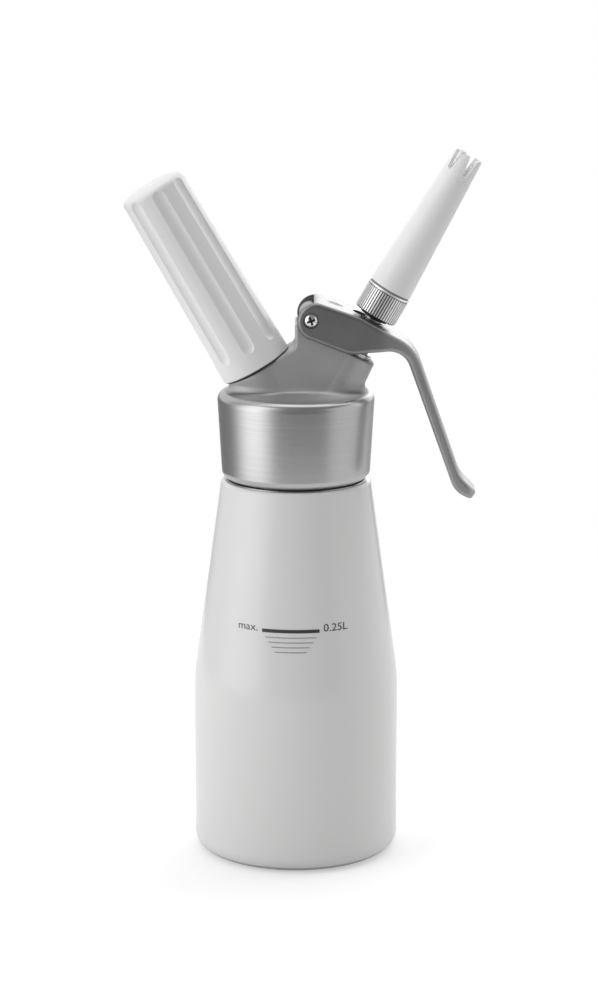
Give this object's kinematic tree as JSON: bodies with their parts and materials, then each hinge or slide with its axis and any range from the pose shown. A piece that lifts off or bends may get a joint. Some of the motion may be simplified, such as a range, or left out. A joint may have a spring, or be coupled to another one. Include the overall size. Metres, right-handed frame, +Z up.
{
  "type": "whipped cream dispenser",
  "caption": "Cream whipper: tapered lacquered bottle, screw-on cast head with a squeeze lever, sprung valve, star nozzle and a fluted gas charger holder.",
  "frame": {"origin": "centre of the bottle's standing ring, on the plane it stands on", "axes": "+Z up along the bottle's axis; +X the way the lever and the nozzle lean; the charger holder leans to -X"},
  "size_m": [0.1195, 0.07, 0.2431],
  "materials": {
    "bottle": "gloss white lacquer on metal",
    "head_gasket": "soft black rubber",
    "head_casting": "satin cast metal with a turned, finely brushed collar",
    "pivot_screw": "bright turned steel",
    "pivot_nut": "bright turned steel",
    "stem_guide_nut": "turned steel",
    "stem_o_ring": "black rubber",
    "return_spring": "drawn spring wire",
    "charger_port": "turned steel",
    "piercing_pin": "turned steel",
    "check_sleeve": "soft rubber",
    "charger_seal": "black rubber",
    "holder_seal": "black rubber",
    "lever": "matte grey cast metal",
    "valve_stem": "turned steel",
    "valve_seal": "black rubber",
    "pusher_collar": "turned steel",
    "lever_washer": "black plastic-rubber",
    "nozzle_adapter": "bright plated, straight ribs",
    "nozzle_gasket": "black rubber",
    "star_nozzle": "white moulded plastic",
    "gas_charger": "drawn steel",
    "charger_holder": "satin white"
  },
  "bodies": {
    "bottle": {"bottle": "bottle"},
    "head_gasket": {"head_gasket": "head_gasket"},
    "head": {"head_casting": "head_casting", "pivot_screw": "pivot_screw", "pivot_nut": "pivot_nut", "stem_guide_nut": "stem_guide_nut", "stem_o_ring": "stem_o_ring", "return_spring": "return_spring", "charger_port": "charger_port", "piercing_pin": "piercing_pin", "check_sleeve": "check_sleeve", "charger_seal": "charger_seal", "holder_seal": "holder_seal"},
    "lever": {"lever": "lever"},
    "valve": {"valve_stem": "valve_stem", "valve_seal": "valve_seal", "pusher_collar": "pusher_collar", "lever_washer": "lever_washer", "nozzle_adapter": "nozzle_adapter"},
    "nozzle_gasket": {"nozzle_gasket": "nozzle_gasket"},
    "nozzle": {"star_nozzle": "star_nozzle"},
    "charger": {"gas_charger": "gas_charger"},
    "holder": {"charger_holder": "charger_holder"}
  },
  "joints": [
    {"name": "head_lift", "type": "slide", "parent": "bottle", "child": "head_gasket", "axis": [0, 0, 1], "range_m": [0, 0.008]},
    {"name": "head_turn", "type": "hinge", "parent": "head_gasket", "child": "head", "pos_m": [0, 0, 0.1468], "axis": [0, 0, 1], "range_deg": [0, 724]},
    {"name": "lever_squeeze", "type": "hinge", "parent": "head", "child": "lever", "pos_m": [0.00504, 0, 0.18624], "axis": [0, 1, 0], "range_deg": [0, 8.1], "stiffness_Nm_per_rad": 1.2, "springref_deg": -8.59},
    {"name": "valve_push", "type": "slide", "parent": "head", "child": "valve", "axis": [-0.5, 0, -0.866], "range_m": [0, 0.00258], "deforming": ["return_spring"]},
    {"name": "nozzle_lift", "type": "slide", "parent": "valve", "child": "nozzle_gasket", "axis": [0.5, 0, 0.866], "range_m": [0, 0.004]},
    {"name": "nozzle_turn", "type": "hinge", "parent": "nozzle_gasket", "child": "nozzle", "pos_m": [0.0315, 0, 0.19505], "axis": [0.5, 0, 0.866], "range_deg": [0, 724]},
    {"name": "charger_lift", "type": "slide", "parent": "head", "child": "charger", "axis": [-0.5, 0, 0.866], "range_m": [0, 0.006]},
    {"name": "holder_turn", "type": "hinge", "parent": "charger", "child": "holder", "pos_m": [-0.0128, 0, 0.16847], "axis": [-0.5, 0, 0.866], "range_deg": [0, 1085]}
  ],
  "couplings": [
    {"joint": "head_turn", "follows": "head_lift", "rad_per_m": 1570.8},
    {"joint": "lever_squeeze", "follows": "valve_push", "rad_per_m": 54.054},
    {"joint": "nozzle_turn", "follows": "nozzle_lift", "rad_per_m": 3141.6},
    {"joint": "holder_turn", "follows": "charger_lift", "rad_per_m": 3141.6}
  ]
}
